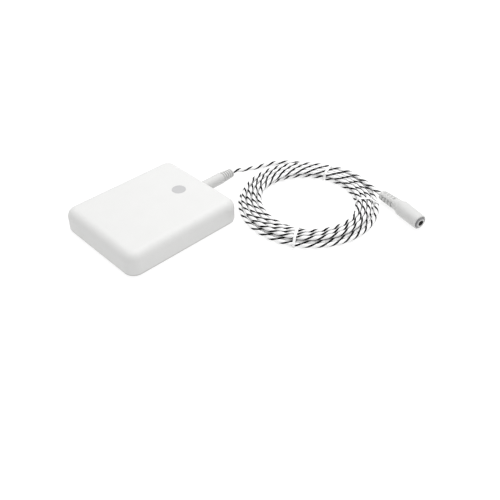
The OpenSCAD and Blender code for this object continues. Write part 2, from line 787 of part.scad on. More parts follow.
// A plate beside the cell's can, a strip over the well's rim and a leg down to the board
module cell_side_contact() {
    plate_y = cell_bore_d / 2;
    plate_low = well_foot_top + fit_gap;
    color("#d0b15a") {
        translate([cell_x - strip_width / 2, plate_y, plate_low])
            cube([strip_width, strip_thickness, well_rim + strip_thickness - plate_low]);
        translate([cell_x - strip_width / 2, plate_y, well_rim])
            cube([contact_tail_x - cell_x + strip_width / 2, strip_width / 2, strip_thickness]);
        translate([contact_tail_x - strip_thickness, plate_y, board_top])
            cube([strip_thickness, strip_width / 2, well_rim + strip_thickness - board_top]);
    }
}
module battery_cap() {
    groove_h = cap_seal_d + fit_gap;
    color("#dededc") at_cell() difference() {
        union() {
            post(cap_d, base_bottom, cap_top);
            post(spigot_d, cap_top - over, lug_top + fit_gap);
            for (i = [0:lug_count - 1])
                ring_part(lug_d, spigot_d - 2 * over, lug_bottom, lug_top, lug_angle, i * 360 / lug_count);
        }
        translate([0, 0, cap_seal_z])
            pipe(cap_d + 2 * over, cap_seal_ring_d - cap_seal_d - fit_gap, -groove_h / 2, groove_h / 2);
        translate([-coin_slot_length / 2, -coin_slot_width / 2, base_bottom - over])
            cube([coin_slot_length, coin_slot_width, coin_slot_depth + over]);
    }
}
module cap_seal() {
    color("#3a3a3c") at_cell() translate([0, 0, cap_seal_z])
        rotate_extrude() translate([cap_seal_ring_d / 2, 0]) circle(d = cap_seal_d);
}

// Plug
function rib_d(i) = plug_relief_big_d + (plug_relief_small_d - plug_relief_big_d) * i / (plug_rib_count - 1);
module plug_grip() {
    r = plug_grip_d / 2;
    edge = 0.6;
    rib_pitch = plug_relief_length / plug_rib_count;
    groove = plug_groove_share * rib_pitch;
    ribs = [
        for (i = [0:plug_rib_count - 1])
            let (
                z = plug_grip_length + i * rib_pitch,
                rib_r = rib_d(i) / 2,
                groove_r = rib_r - plug_rib_depth
            )
            each [[groove_r, z], [groove_r, z + groove], [rib_r, z + groove], [rib_r, z + rib_pitch]]
    ];
    outline = concat(
        [[0, 0], [r - edge, 0], [r, edge], [r, plug_grip_length - edge], [r - edge, plug_grip_length]],
        ribs,
        [[0, plug_grip_length + plug_relief_length]]
    );
    color("#ececea") along_jack(plug_x) difference() {
        rotate_extrude() polygon(outline);
        translate([0, 0, -over]) cylinder(d = pin_root_d + fit_gap / 2, h = pin_root_length + over);
    }
}
// The pin, from its root in the grip to its tip
module plug_sleeve() {
    color("#c8cacc") along_jack(plug_x) rotate_extrude() polygon([
        [0, -pin_sleeve_length], [pin_d / 2, -pin_sleeve_length], [pin_d / 2, 0],
        [pin_root_d / 2, 0], [pin_root_d / 2, pin_root_length], [0, pin_root_length]
    ]);
}
module plug_insulator() {
    color("#1c1c1e") along_jack(plug_x) translate([0, 0, -pin_sleeve_length - insulator_length])
        cylinder(d = pin_d - fit_gap, h = insulator_length);
}
module plug_tip() {
    start = -pin_sleeve_length - insulator_length;
    r = pin_d / 2;
    waist_r = 0.72 * r;
    point_r = 0.34 * r;
    collar_end = start - 0.4;
    waist_start = start - 1.2;
    waist_end = start - 1.8;
    shoulder = start - 2.8;
    color("#c8cacc") along_jack(plug_x) rotate_extrude() polygon([
        [0, start], [r, start], [r, collar_end], [waist_r, waist_start], [waist_r, waist_end],
        [r, shoulder], [point_r, -pin_length], [0, -pin_length]
    ]);
}

// Sensing lead
module lead_in() {
    color("#f4f4f4") cord(lead_in_route, 8);
}
module cord_coil() {
    echo(str("Least gap of the coil to itself: ", coil_gap(coil_route), " mm"));
    color("#f4f4f4") cord(coil_route, 6);
}
module lead_out() {
    color("#f4f4f4") cord(lead_out_route, 8);
}
// A loop with cut corners round a box in the coil's half section
function cut_box(low, high, cut) = [
    [low.x + cut, low.y], [high.x - cut, low.y], [high.x, low.y + cut], [high.x, high.y - cut],
    [high.x - cut, high.y], [low.x + cut, high.y], [low.x, high.y - cut], [low.x, low.y + cut]
];
// Radii of the loops that pass an angle of the coil
function loops_at(angle) = [
    for (k = [0:ceil(coil_loops)])
        let (loops = (coil_angle - angle) / 360 + k)
        if (loops >= 0 && loops <= coil_loops)
            coil_r(loops) + coil_shift(loops) * cos(angle - coil_drift_angle)
];
module coil_tie(angle) {
    t = tie_thickness;
    inner_r = min(loops_at(angle)) - cord_d / 2 - moving_gap;
    outer_r = max(loops_at(angle)) + cord_d / 2 + moving_gap;
    translate([coil_centre.x, coil_centre.y, 0]) rotate(angle)
        rotate([90, 0, 0]) linear_extrude(tie_width, center = true) difference() {
            polygon(cut_box([inner_r - t, 0], [outer_r + t, tie_top + t], tie_corner));
            polygon(cut_box([inner_r, t], [outer_r, tie_top], tie_corner - t / 2));
        }
}
module coil_ties() {
    color("#fafafa") for (angle = ties) coil_tie(angle);
}

// Inline socket
module relief_cuts() {
    reach = socket_relief_big_d;
    for (i = [0:relief_slots - 1], turn = [0:90:270])
        let (z = relief_slot_first + relief_slot_pitch * i)
        rotate(turn) translate([(relief_core_d + reach) / 2, 0, z])
            cube([reach, relief_slot_length, relief_slot_width], center = true);
}
module socket_grip() {
    edge = 0.5;
    flare_end = socket_relief_length + socket_flare;
    r = socket_d / 2;
    mouth_r = socket_mouth_d / 2;
    // The relief and the flare each run this far into the other
    root = 2;
    swell = (socket_relief_big_d - socket_relief_small_d) / socket_relief_length;
    rise = (r - socket_relief_big_d / 2) / socket_flare;
    flare_start = socket_relief_length - root;
    color("#e6e6e4") difference() {
        union() {
            along_relief() cylinder(
                d1 = socket_relief_small_d, d2 = socket_relief_big_d + root * swell,
                h = socket_relief_length + root
            );
            along_socket() rotate_extrude() polygon([
                [0, flare_start], [socket_relief_big_d / 2 - root * rise, flare_start],
                [r, flare_end], [mouth_r, socket_end - edge], [mouth_r - edge, socket_end], [0, socket_end]
            ]);
        }
        along_relief() relief_cuts();
        along_socket() translate([0, 0, insert_end - insert_length])
            cylinder(d = insert_d + fit_gap / 2, h = insert_length + 2 * over);
    }
}
module socket_insert() {
    edge = 0.3;
    foot = insert_end - insert_length;
    r = insert_d / 2;
    color("#4a4a4c") along_socket() difference() {
        rotate_extrude() polygon([
            [0, foot], [r, foot], [r, insert_end - edge], [r - edge, insert_end], [0, insert_end]
        ]);
        translate([0, 0, bush_end - socket_bore_depth])
            cylinder(d = jack_bore_d, h = socket_bore_depth + over);
        translate([0, 0, bush_end - bush_length])
            cylinder(d = jack_bore_d + 2 * bush_wall + fit_gap / 2, h = bush_length + over);
        socket_leaf(fit_gap);
    }
}
module socket_bush() {
    color("#c8cacc") along_socket()
        pipe(jack_bore_d + 2 * bush_wall, jack_bore_d, bush_end - bush_length, bush_end);
}
// The socket's spring, a leaf beside the bore, and the slot that it lies in
module socket_leaf(room) {
    leaf = [0.3, 1.2, 6];
    leaf_start = bush_end - socket_bore_depth + 1;
    x = jack_bore_d / 2 + fit_gap;
    inner_x = room > 0 ? 0 : x;
    translate([inner_x, -leaf.y / 2 - room, leaf_start - room])
        cube([x + leaf.x + room - inner_x, leaf.y + 2 * room, leaf.z + 2 * room]);
}
module socket_spring() {
    color("#c9a24a") along_socket() socket_leaf(0);
}

upper_shell();
base();
housing_seal();
housing_screws();
rubber_feet();
button_cap();
switch_plunger();
switch_body();
status_led();
circuit_board();
board_screws();
controller_chip();
radio_board();
radio_shield();
board_components();
jack_housing();
jack_tip_spring();
jack_sleeve_contact();
jack_gasket();
coin_cell();
cell_top_contact();
cell_side_contact();
battery_cap();
cap_seal();
plug_grip();
plug_sleeve();
plug_insulator();
plug_tip();
lead_in();
cord_coil();
coil_ties();
lead_out();
socket_grip();
socket_insert();
socket_bush();
socket_spring();
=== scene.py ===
"""Looks of a water leak sensor: a white housing with a flush button, and a striped cord in a tied coil.

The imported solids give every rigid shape. This script gives them their finishes, and lays a detailed cord,
its ties and its soft grips where the plain solids lie. Lengths are in metres unless a name ends in _mm or
a docstring says otherwise, and the angles in a class's fields are in degrees.
"""

import logging
import math
from collections.abc import Sequence
from dataclasses import dataclass, field
from enum import Enum

import bmesh
import bpy
from mathutils import Matrix, Vector
from mathutils.geometry import interpolate_bezier


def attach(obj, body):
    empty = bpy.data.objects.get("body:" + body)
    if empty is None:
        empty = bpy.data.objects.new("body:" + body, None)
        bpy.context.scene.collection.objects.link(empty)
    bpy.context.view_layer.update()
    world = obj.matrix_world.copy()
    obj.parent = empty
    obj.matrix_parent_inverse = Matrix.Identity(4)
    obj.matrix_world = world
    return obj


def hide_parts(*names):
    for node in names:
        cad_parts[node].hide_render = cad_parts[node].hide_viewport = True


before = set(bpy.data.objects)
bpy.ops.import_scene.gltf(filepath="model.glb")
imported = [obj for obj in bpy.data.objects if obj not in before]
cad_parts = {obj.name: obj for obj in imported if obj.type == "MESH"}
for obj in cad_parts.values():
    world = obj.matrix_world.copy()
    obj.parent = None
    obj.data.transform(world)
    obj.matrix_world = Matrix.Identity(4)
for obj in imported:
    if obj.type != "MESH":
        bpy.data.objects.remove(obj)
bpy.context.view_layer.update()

MM = 0.001
# corners of a mesh that lie nearer than this are one
WELD_MM = 0.001
# share by which a roughness varies with the bumps
ROUGHNESS_SPREAD = 0.15
# how far the noise is drawn out along the lines of a drawn or a turned metal
LINE_SQUEEZE = 0.05
# scale of a wave whose bands are about as wide as a noise's grains
WAVE_SHARE = 0.25
# how much of the light on a soft plastic comes back from under its surface
SUBSURFACE_SHARE = 0.15
LOG = logging.getLogger("leak_sensor")


def linear(code: str) -> tuple[float, float, float, float]:
    """Turns an sRGB hex colour into linear light.

    Args:
        code: a colour such as "#f0f0ee".

    Returns:
        Red, green, blue and an alpha of 1.
    """
    shares = [int(code[i:i + 2], 16) / 255 for i in (1, 3, 5)]
    red, green, blue = (c / 12.92 if c <= 0.04045 else ((c + 0.055) / 1.055) ** 2.4 for c in shares)
    return red, green, blue, 1.0


def add_node(
    tree: bpy.types.NodeTree, kind: str, settings: dict | None = None, **inputs: object
) -> bpy.types.Node:
    """Adds a shader node with its settings, its values and its links.

    Args:
        tree: the material's or the world's node tree.
        kind: Blender's name of the node.
        settings: the node's own properties.
        **inputs: for each input socket, with _ for a space, a value or the socket that it is linked to.

    Returns:
        The new node.
    """
    node = tree.nodes.new(kind)
    for name, value in (settings or {}).items():
        setattr(node, name, value)
    for name, value in inputs.items():
        socket = node.inputs[name.replace("_", " ")]
        if isinstance(value, bpy.types.NodeSocket):
            tree.links.new(value, socket)
        else:
            socket.default_value = value
    return node


class Grain(Enum):
    """How a surface was made, which sets the pattern of its bumps."""

    MOULDED = "moulded"
    DRAWN = "drawn"
    TURNED = "turned"
    WOVEN = "woven"


@dataclass(frozen=True)
class Finish:
    """One real material and the way that its surface was made.

    Its colour goes over into its shade in soft patches, and its bumps follow its grain.
    """

    name: str
    slot: str
    colour: str
    shade: str
    roughness: float
    grain: Grain = Grain.MOULDED
    grain_mm: float = 0.7
    depth_mm: float = 0.01
    mottle_mm: float = 12.0
    metallic: float = 0.0
    ior: float = 1.5
    coat: float = 0.0
    subsurface_mm: float = 0.0

    def material(self) -> bpy.types.Material:
        """Makes the finish as a material, or gives the one that was made before.

        Returns:
            A material with a colour that varies a little, a roughness that varies with it, and a bump.
        """
        made = bpy.data.materials.get(self.name)
        if made:
            return made
        made = bpy.data.materials.new(self.name)
        made.use_nodes = True
        tree = made.node_tree
        shader = tree.nodes["Principled BSDF"]
        place = add_node(tree, "ShaderNodeTexCoord").outputs["Object"]
        mottle = 1 / (self.mottle_mm * MM)
        cloud = add_node(tree, "ShaderNodeTexNoise", Vector=place, Scale=mottle, Detail=3.0)
        height = self.relief(tree, place)
        tone = add_node(tree, "ShaderNodeMix", {"data_type": "RGBA"})
        tree.links.new(cloud.outputs["Fac"], tone.inputs["Factor"])
        tone.inputs["A"].default_value = linear(self.colour)
        tone.inputs["B"].default_value = linear(self.shade)
        gloss = add_node(
            tree, "ShaderNodeMapRange", Value=height,
            To_Min=self.roughness * (1 - ROUGHNESS_SPREAD),
            To_Max=min(1.0, self.roughness * (1 + ROUGHNESS_SPREAD)),
        )
        bump = add_node(tree, "ShaderNodeBump", Height=height, Distance=self.depth_mm * MM, Strength=1.0)
        tree.links.new(tone.outputs["Result"], shader.inputs["Base Color"])
        tree.links.new(gloss.outputs["Result"], shader.inputs["Roughness"])
        tree.links.new(bump.outputs["Normal"], shader.inputs["Normal"])
        shader.inputs["Metallic"].default_value = self.metallic
        shader.inputs["IOR"].default_value = self.ior
        shader.inputs["Coat Weight"].default_value = self.coat
        if self.subsurface_mm:
            shader.inputs["Subsurface Weight"].default_value = SUBSURFACE_SHARE
            shader.inputs["Subsurface Radius"].default_value = (1.0, 1.0, 1.0)
            shader.inputs["Subsurface Scale"].default_value = self.subsurface_mm * MM
        return made

    def relief(self, tree: bpy.types.NodeTree, place: bpy.types.NodeSocket) -> bpy.types.NodeSocket:
        """Adds the pattern of the surface's bumps.

        Args:
            tree: the material's node tree.
            place: the socket of the coordinates that the pattern reads.

        Returns:
            The socket of the pattern's height, from 0 to 1.
        """
        scale = 1 / (self.grain_mm * MM)
        if self.grain is Grain.MOULDED:
            return add_node(tree, "ShaderNodeTexNoise", Vector=place, Scale=scale, Detail=4.0).outputs["Fac"]
        if self.grain is Grain.WOVEN:
            weave = {"wave_type": "BANDS", "bands_direction": "X"}
            wave = add_node(tree, "ShaderNodeTexWave", weave, Vector=place, Scale=scale * WAVE_SHARE)
            return wave.outputs["Fac"]
        # the noise is drawn out along a strip's lines, or along the rings of a pin that was turned round X
        drawn = LINE_SQUEEZE
        squeeze = (drawn, 1.0, 1.0) if self.grain is Grain.DRAWN else (1.0, drawn, drawn)
        lines = add_node(tree, "ShaderNodeMapping", Vector=place, Scale=squeeze).outputs["Vector"]
        return add_node(tree, "ShaderNodeTexNoise", Vector=lines, Scale=scale, Detail=2.0).outputs["Fac"]


# ABS from a spark-eroded mould: an even satin white with a faint grain, drawn coarser than its 0.2 mm to show
SHELL_ABS = Finish(
    "white_abs_moulded", "white_shell", "#dddddc", "#d9d9d8",
    roughness=0.5, grain_mm=0.6, depth_mm=0.008)
# the same ABS in the base's coarser mould, which gives it a duller, greyer look
BASE_ABS = Finish(
    "grey_white_abs_moulded", "base_plastic", "#cfcfcd", "#c8c8c6",
    roughness=0.58, grain_mm=0.8, depth_mm=0.012)
# a polypropylene key with a smooth face, a light grey in the white top
BUTTON_PP = Finish(
    "light_grey_polypropylene_moulded", "button_plastic", "#bcbcbd", "#b8b8b9",
    roughness=0.45, grain_mm=0.5)
# soft PVC moulded round the cord's ends: matt, a shade greyer than the housing, and it lets a little light in
GRIP_PVC = Finish(
    "white_pvc_overmoulded", "grip_plastic", "#d2d2d1", "#cccccb",
    roughness=0.6, grain_mm=0.5, depth_mm=0.012, subsurface_mm=0.2)
# painted shade: the grip's white PVC painted a mid grey on the floors of the strain relief's slots, where
# shade falls
SLOT_SHADE_PVC = Finish(
    "grip_pvc_painted_slot_shade", "grip_plastic", "#8f8f8e", "#868685",
    roughness=0.65, grain_mm=0.5)
# extruded PVC: smoother than a moulding, with a soft shine along the cord
JACKET_PVC = Finish(
    "white_pvc_extruded", "cord_white", "#fbfbfb", "#f6f6f6",
    roughness=0.4, grain_mm=0.5, depth_mm=0.005)
# carbon-filled polymer of the two sensing wires: black and dry, its fibres drawn coarser than 0.05 mm to show
WIRE_CARBON = Finish(
    "carbon_filled_polymer_extruded", "cord_white", "#0d0d0e", "#151517",
    roughness=0.75, grain_mm=0.3, depth_mm=0.02, ior=1.15)
# polyester film round the coil: a thin glossy white
TIE_FILM = Finish(
    "white_polyester_film", "tie_plastic", "#fafafa", "#f4f4f4",
    roughness=0.3, grain_mm=0.8, depth_mm=0.004)
# moulded nitrile rubber: dark and dull, with a fine bloom
SEAL_RUBBER = Finish(
    "black_nitrile_rubber_moulded", "black_rubber", "#2a2a2c", "#333335",
    roughness=0.8, grain_mm=0.5)
# silicone feet: softer than the seals, and a paler grey
FOOT_RUBBER = Finish(
    "grey_silicone_rubber_moulded", "grey_rubber", "#4c4d50", "#545558",
    roughness=0.75, grain_mm=0.6)
# glass-filled nylon: dark with a dry, faintly rough skin
BLACK_NYLON = Finish(
    "black_glass_filled_nylon_moulded", "black_plastic", "#1b1b1d", "#232326",
    roughness=0.5, grain_mm=0.5)
# plain nylon of the inline socket's insert: a mid grey round the bush
GREY_NYLON = Finish(
    "grey_nylon_moulded", "black_plastic", "#939395", "#89898b",
    roughness=0.55, grain_mm=0.4)
# uncoloured nylon of the key's plunger
CREAM_NYLON = Finish(
    "cream_nylon_moulded", "cream_plastic", "#d8d2c4", "#cfc8b8",
    roughness=0.5, grain_mm=0.5)
# clear epoxy over the diode
LED_EPOXY = Finish(
    "pale_epoxy_cast", "led_lens", "#f0eac0", "#e8e0b0",
    roughness=0.12, depth_mm=0.002, coat=0.6)
# glass-fibre board: the weave shows faintly through a glossy lacquer
BOARD_GREEN = Finish(
    "green_solder_mask_on_fr4", "board_green", "#1d5a3a", "#184d32",
    roughness=0.28, grain=Grain.WOVEN, coat=0.4)
# the radio's own board, in black lacquer
BOARD_BLACK = Finish(
    "black_solder_mask_on_fr4", "board_black", "#20242c", "#1a1e25",
    roughness=0.28, grain=Grain.WOVEN, coat=0.4)
# chip capacitors, fired and left bare
CERAMIC = Finish(
    "tan_fired_ceramic", "ceramic_parts", "#a98655", "#9a7848",
    roughness=0.6, grain_mm=0.3)
# zinc plate on cold-headed steel, with a bluish grey sheen
SCREW_ZINC = Finish(
    "zinc_plated_steel", "screw_steel", "#b6b9bd", "#a9acb1",
    roughness=0.35, grain=Grain.DRAWN, grain_mm=0.3, depth_mm=0.003, mottle_mm=3.0, metallic=1.0)
# tin on the strip that the radio's can is folded from
CAN_TIN = Finish(
    "tinned_steel_strip", "tinned_steel", "#c4c6c8", "#b8babd",
    roughness=0.3, grain=Grain.DRAWN, grain_mm=0.4, depth_mm=0.003, mottle_mm=5.0, metallic=1.0)
# the cell's can, deep-drawn from nickelled strip
CELL_STEEL = Finish(
    "nickelled_steel_drawn", "cell_steel", "#c2c4c7", "#b4b6ba",
    roughness=0.3, grain=Grain.DRAWN, grain_mm=0.4, depth_mm=0.003, mottle_mm=6.0, metallic=1.0)
# bright nickel on turned brass: warm grey, with the lathe's fine rings
NICKEL = Finish(
    "nickel_plated_turned_brass", "nickel", "#cfcdc9", "#c0beba",
    roughness=0.25, grain=Grain.TURNED, grain_mm=0.3, depth_mm=0.002, mottle_mm=3.0, metallic=1.0)
# the same nickel, dulled where plugs rub on the socket's bush
WORN_NICKEL = Finish(
    "worn_nickel_on_turned_brass", "nickel", "#c6c6c5", "#bcbcbb",
    roughness=0.42, grain=Grain.TURNED, grain_mm=0.3, depth_mm=0.003, mottle_mm=3.0, metallic=1.0)
# gold flash on rolled brass strip
GILT = Finish(
    "gold_flashed_brass_strip", "gilt_brass", "#d3ad58", "#c49c48",
    roughness=0.28, grain=Grain.DRAWN, grain_mm=0.3, depth_mm=0.002, mottle_mm=3.0, metallic=1.0)


@dataclass(frozen=True)
class SolidGroup:
    """A sub-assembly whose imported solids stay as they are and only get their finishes."""

    name: str
    finishes: dict[str, Finish]

    def dress(self) -> None:
        """Gives each solid its finish."""
        for node, finish in self.finishes.items():
            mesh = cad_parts[node].data
            mesh.materials.clear()
            mesh.materials.append(finish.material())
            LOG.info("%s, %s: %s", self.name, node, finish.name)


# Most of these solids lie inside, and show where a cap is turned or a lead is pulled out
SOLID_GROUPS = (
    SolidGroup("housing", {
        "upper_shell": SHELL_ABS, "base": BASE_ABS, "housing_seal": SEAL_RUBBER, "housing_screws": SCREW_ZINC,
        "rubber_feet": FOOT_RUBBER,
    }),
    SolidGroup("button", {
        "button_cap": BUTTON_PP, "switch_plunger": CREAM_NYLON, "switch_body": BLACK_NYLON,
        "status_led": LED_EPOXY,
    }),
    SolidGroup("electronics", {
        "circuit_board": BOARD_GREEN, "board_screws": SCREW_ZINC, "controller_chip": BLACK_NYLON,
        "radio_board": BOARD_BLACK, "radio_shield": CAN_TIN, "board_components": CERAMIC,
    }),
    SolidGroup("jack", {
        "jack_housing": BLACK_NYLON, "jack_tip_spring": GILT, "jack_sleeve_contact": NICKEL,
        "jack_gasket": SEAL_RUBBER,
    }),
    SolidGroup("battery", {
        "coin_cell": CELL_STEEL, "cell_top_contact": GILT, "cell_side_contact": GILT, "battery_cap": BASE_ABS,
        "cap_seal": SEAL_RUBBER,
    }),
    SolidGroup("plug pin", {"plug_sleeve": NICKEL, "plug_insulator": BLACK_NYLON, "plug_tip": NICKEL}),
    SolidGroup("inline socket", {
        "socket_insert": GREY_NYLON, "socket_bush": WORN_NICKEL, "socket_spring": GILT,
    }),
)


def new_piece(
    name: str, bm: bmesh.types.BMesh, finishes: Sequence[Finish], body: str, even: bool = False
) -> bpy.types.Object:
    """Makes a finished bmesh an object of the scene that rides on a body.

    Args:
        name: the piece's name.
        bm: the mesh, in place, which is freed.
        finishes: one finish for each material index of its faces.
        body: the CAD body that the piece moves with.
        even: whether its normals are weighted by the faces' sizes.

    Returns:
        The new object, at the origin.
    """
    mesh = bpy.data.meshes.new(name)
    bm.to_mesh(mesh)
    bm.free()
    for finish in finishes:
        mesh.materials.append(finish.material())
    piece = bpy.data.objects.new(name, mesh)
    bpy.context.scene.collection.objects.link(piece)
    if even:
        # the flat faces keep their own normals, and only the rounded edges between them are shaded round
        piece.modifiers.new("even_normals", "WEIGHTED_NORMAL")
    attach(piece, body)
    LOG.info("%s: %d faces on %s", name, len(mesh.polygons), body)
    return piece


def turned(outline_mm: Sequence[tuple[float, float]], edge_mm: float, steps: int = 48) -> bmesh.types.BMesh:
    """Turns an outline round the X axis.

    Args:
        outline_mm: distance along the axis and radius of each corner, from the axis to the axis.
        edge_mm: how far the corners are rounded.
        steps: faces round the axis.

    Returns:
        A closed mesh in metres, with its ends at the axis.
    """
    bm = bmesh.new()
    corners = [bm.verts.new((along * MM, 0.0, radius * MM)) for along, radius in outline_mm]
    for a, b in zip(corners, corners[1:], strict=False):
        bm.edges.new((a, b))
    if edge_mm:
        bmesh.ops.bevel(
            bm, geom=corners[1:-1], offset=edge_mm * MM, affect="VERTICES",
            segments=3, profile=0.5, material=-1,
        )
    bmesh.ops.spin(
        bm, geom=[*bm.verts, *bm.edges], cent=(0, 0, 0), axis=(1, 0, 0), dvec=(0, 0, 0), angle=2 * math.pi,
        steps=steps, use_merge=True, use_normal_flip=False, use_duplicate=False,
    )
    bmesh.ops.remove_doubles(bm, verts=bm.verts, dist=WELD_MM * MM)
    bmesh.ops.recalc_face_normals(bm, faces=bm.faces)
    for face in bm.faces:
        face.smooth = True
    return bm


@dataclass
class Coil:
    """The stored length of the cord: loops that spiral in, climb a layer and spiral out again.

    Its lengths are in millimetres. A loop drifts aside by a share of how far in it lies.
    """

    centre: tuple[float, float] = (80.4, -51.4)
    start_angle: float = 25.0
    radius: float = 43.6
    loop_pitch: float = 3.1
    layer_pitch: float = 2.95
    low_z: float = 1.75
    lower_loops: float = 4.25
    climb_loops: float = 0.5
    upper_loops: float = 3.25
    drift: float = 0.05
    drift_angle: float = -40.0
    knots_per_loop: int = 24

    @property
    def loops(self) -> float:
        """Number of loops in all."""
        return self.lower_loops + self.climb_loops + self.upper_loops

    @property
    def way(self) -> Vector:
        """The way that the cord runs where it joins and leaves the coil."""
        angle = math.radians(self.start_angle)
        return Vector((math.sin(angle), -math.cos(angle), 0.0))

    def point(self, loops: float) -> Vector:
        """Gives a point of the coil, whose inner loops lie a little to one side.

        Args:
            loops: how many loops along the coil it lies.

        Returns:
            The point, in millimetres.
        """
        inner = self.radius - self.loop_pitch * self.lower_loops
        past = loops - self.lower_loops
        if past < 0:
            radius = self.radius - self.loop_pitch * loops
        elif past < self.climb_loops:
            radius = inner - self.loop_pitch * (past - past * past / self.climb_loops)
        else:
            radius = inner + self.loop_pitch * (past - self.climb_loops)
        climbed = max(0.0, min(1.0, past / self.climb_loops))
        angle, aside = math.radians(self.start_angle - 360 * loops), math.radians(self.drift_angle)
        shift = self.drift * (self.radius - radius)
        return Vector((
            self.centre[0] + radius * math.cos(angle) + shift * math.cos(aside),
            self.centre[1] + radius * math.sin(angle) + shift * math.sin(aside),
            self.low_z + self.layer_pitch * (1 - math.cos(math.pi * climbed)) / 2,
        ))

    def knots(self) -> list[Vector]:
        """Gives the coil's points in order, in millimetres."""
        count = round(self.loops * self.knots_per_loop)
        return [self.point(i / self.knots_per_loop) for i in range(count + 1)]


